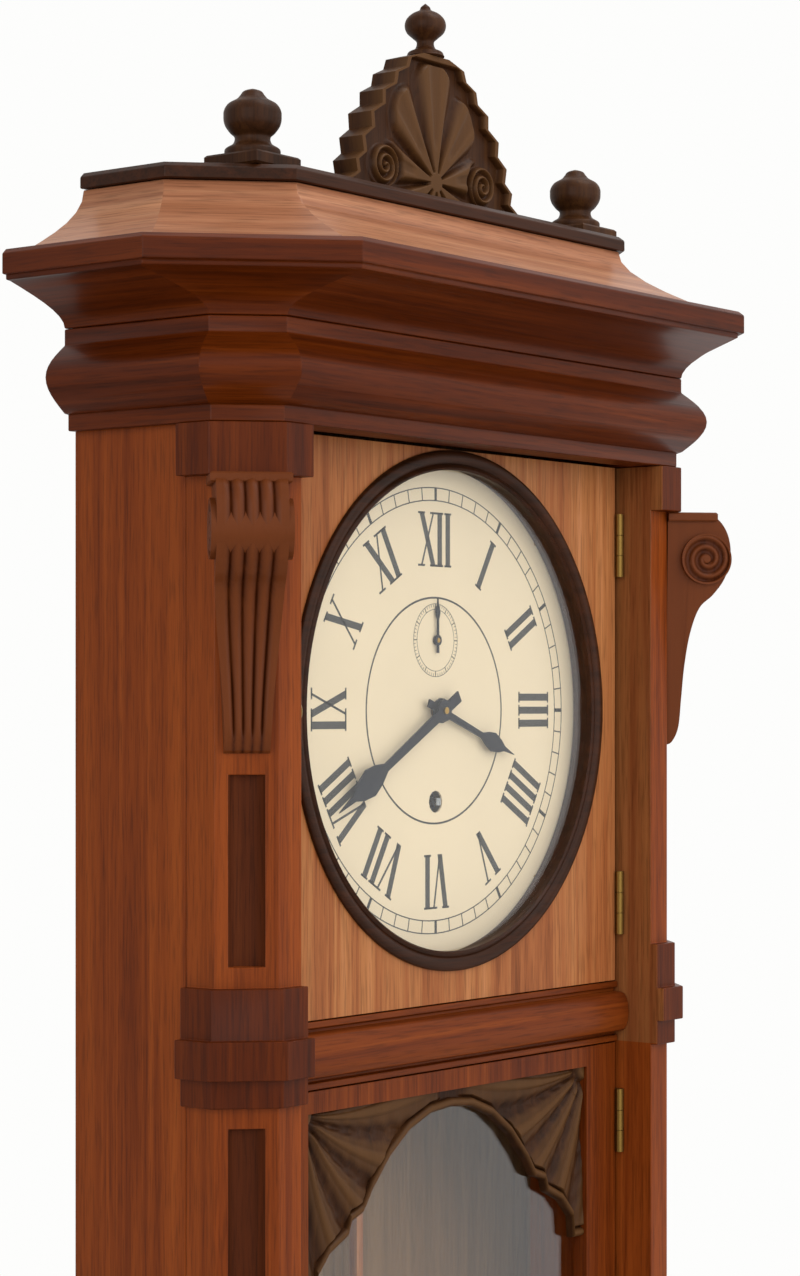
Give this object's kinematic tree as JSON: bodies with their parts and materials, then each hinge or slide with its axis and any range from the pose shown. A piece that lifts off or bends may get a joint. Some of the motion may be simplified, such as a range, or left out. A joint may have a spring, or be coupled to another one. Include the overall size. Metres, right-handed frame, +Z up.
{
  "type": "regulator wall clock",
  "caption": "Walnut-cased wall regulator with a glazed dial door over a glazed pendulum door, carved crest and corbels, spring-driven movement and a long pendulum.",
  "frame": {"origin": "on the wall face of the backboard, on the centre line, level with the hands' arbor", "axes": "+X to the right seen from the front, +Y into the wall, +Z up"},
  "size_m": [0.58, 0.193, 1.289],
  "materials": {
    "walnut": "satin varnish",
    "light_walnut": "satin varnish",
    "dark_walnut": "satin varnish",
    "carved_walnut": "satin varnish, carved",
    "pine": "bare, aged",
    "enamel": "cream enamel, printed numerals",
    "blued_steel": "blued",
    "brass": "lacquered",
    "steel": "polished",
    "iron": "black",
    "glass": "clear, old"
  },
  "bodies": {
    "case": {"backboard": "pine", "hanger_plate": "brass", "left_side": "walnut", "left_corner_post": "walnut", "right_side": "walnut", "right_corner_post": "walnut", "left_corbel": "carved_walnut", "right_corbel": "carved_walnut", "frieze_moulding": "walnut", "cornice_moulding": "walnut", "roof_slope": "light_walnut", "attic_board": "dark_walnut", "crest": "carved_walnut", "crest_finial": "carved_walnut", "left_finial": "carved_walnut", "right_finial": "carved_walnut", "belt_rail": "walnut", "base_moulding": "walnut", "bottom_taper": "walnut", "drop_finial": "carved_walnut", "dial_upper_hinge_case_leaf": "brass", "dial_lower_hinge_case_leaf": "brass", "pendulum_upper_hinge_case_leaf": "brass", "pendulum_lower_hinge_case_leaf": "brass", "dial_board": "pine", "dial": "enamel", "front_plate": "brass", "back_plate": "brass", "movement_bracket": "iron", "pendulum_cock": "brass", "beat_scale": "brass"},
    "dial_door": {"dial_door": "light_walnut", "dial_bezel": "dark_walnut", "dial_glass": "glass", "dial_upper_hinge_door_leaf": "brass", "dial_lower_hinge_door_leaf": "brass"},
    "dial_door_latch": {"dial_door_latch": "brass"},
    "pendulum_door": {"pendulum_door": "walnut", "pendulum_door_glass": "glass", "door_arch": "carved_walnut", "pendulum_upper_hinge_door_leaf": "brass", "pendulum_lower_hinge_door_leaf": "brass"},
    "pendulum_door_latch": {"pendulum_door_latch": "brass"},
    "minute_arbor": {"centre_wheel": "brass", "minute_hand": "blued_steel"},
    "third": {"third_wheel": "brass"},
    "escape": {"escape_wheel": "brass", "seconds_hand": "blued_steel"},
    "intermediate": {"intermediate_wheel": "brass"},
    "barrel": {"mainspring_barrel": "brass"},
    "minute_wheel": {"minute_wheel": "brass"},
    "hour_wheel": {"hour_wheel": "brass", "hour_hand": "blued_steel"},
    "winding_arbor": {"winding_arbor": "steel"},
    "click": {"click": "steel"},
    "anchor": {"anchor": "steel"},
    "pendulum": {"suspension_spring": "steel", "pendulum_rod": "light_walnut", "pendulum_bob": "brass"},
    "rating_nut": {"rating_nut": "brass"}
  },
  "joints": [
    {"name": "dial_door_hinge", "type": "hinge", "parent": "case", "child": "dial_door", "pos_m": [0.1809, -0.1101, 0], "axis": [0, 0, 1], "range_deg": [0, 95]},
    {"name": "dial_door_latch_turn", "type": "hinge", "parent": "dial_door", "child": "dial_door_latch", "pos_m": [-0.1727, -0.099, 0], "axis": [0, -1, 0], "range_deg": [0, 90]},
    {"name": "pendulum_door_hinge", "type": "hinge", "parent": "case", "child": "pendulum_door", "pos_m": [0.1809, -0.1101, -0.43638], "axis": [0, 0, 1], "range_deg": [0, 95]},
    {"name": "pendulum_door_latch_turn", "type": "hinge", "parent": "pendulum_door", "child": "pendulum_door_latch", "pos_m": [-0.1727, -0.099, -0.43638], "axis": [0, -1, 0], "range_deg": [0, 90]},
    {"name": "minute_arbor_turn", "type": "hinge", "parent": "case", "child": "minute_arbor", "pos_m": [0, -0.06, 0], "axis": [0, 1, 0], "continuous": true},
    {"name": "third_wheel_turn", "type": "hinge", "parent": "case", "child": "third", "pos_m": [0.01996, -0.06, 0.02552], "axis": [0, 1, 0], "continuous": true},
    {"name": "escape_wheel_turn", "type": "hinge", "parent": "case", "child": "escape", "pos_m": [0, -0.06, 0.044], "axis": [0, 1, 0], "continuous": true},
    {"name": "intermediate_wheel_turn", "type": "hinge", "parent": "case", "child": "intermediate", "pos_m": [-0.02233, -0.06, -0.02564], "axis": [0, 1, 0], "continuous": true},
    {"name": "barrel_turn", "type": "hinge", "parent": "case", "child": "barrel", "pos_m": [0, -0.06, -0.057], "axis": [0, 1, 0], "continuous": true},
    {"name": "minute_wheel_turn", "type": "hinge", "parent": "case", "child": "minute_wheel", "pos_m": [0.01273, -0.06, -0.01273], "axis": [0, 1, 0], "continuous": true},
    {"name": "hour_wheel_turn", "type": "hinge", "parent": "case", "child": "hour_wheel", "pos_m": [0, -0.06, 0], "axis": [0, 1, 0], "continuous": true},
    {"name": "winding_arbor_turn", "type": "hinge", "parent": "case", "child": "winding_arbor", "pos_m": [0, -0.06, -0.057], "axis": [0, 1, 0], "range_deg": [0, 1440]},
    {"name": "click_lift", "type": "hinge", "parent": "case", "child": "click", "pos_m": [0.023, -0.0785, -0.04], "axis": [0, 1, 0], "range_deg": [0, 12]},
    {"name": "pendulum_swing", "type": "hinge", "parent": "case", "child": "pendulum", "pos_m": [0, -0.02682, 0.07583], "axis": [0, 1, 0], "range_deg": [-2.5, 2.5]},
    {"name": "anchor_rock", "type": "hinge", "parent": "case", "child": "anchor", "pos_m": [0, -0.06, 0.07583], "axis": [0, 1, 0], "range_deg": [-2.5, 2.5]},
    {"name": "rating_nut_turn", "type": "hinge", "parent": "pendulum", "child": "rating_nut", "pos_m": [0, -0.02682, -0.53947], "axis": [0, 0, 1], "continuous": true}
  ],
  "couplings": [
    {"joint": "third_wheel_turn", "follows": "minute_arbor_turn", "ratio": -8},
    {"joint": "escape_wheel_turn", "follows": "minute_arbor_turn", "ratio": 60},
    {"joint": "intermediate_wheel_turn", "follows": "minute_arbor_turn", "ratio": -0.13333},
    {"joint": "barrel_turn", "follows": "minute_arbor_turn", "ratio": 0.022222},
    {"joint": "minute_wheel_turn", "follows": "minute_arbor_turn", "ratio": -0.33333},
    {"joint": "hour_wheel_turn", "follows": "minute_arbor_turn", "ratio": 0.083333},
    {"joint": "anchor_rock", "follows": "pendulum_swing", "ratio": 1}
  ]
}
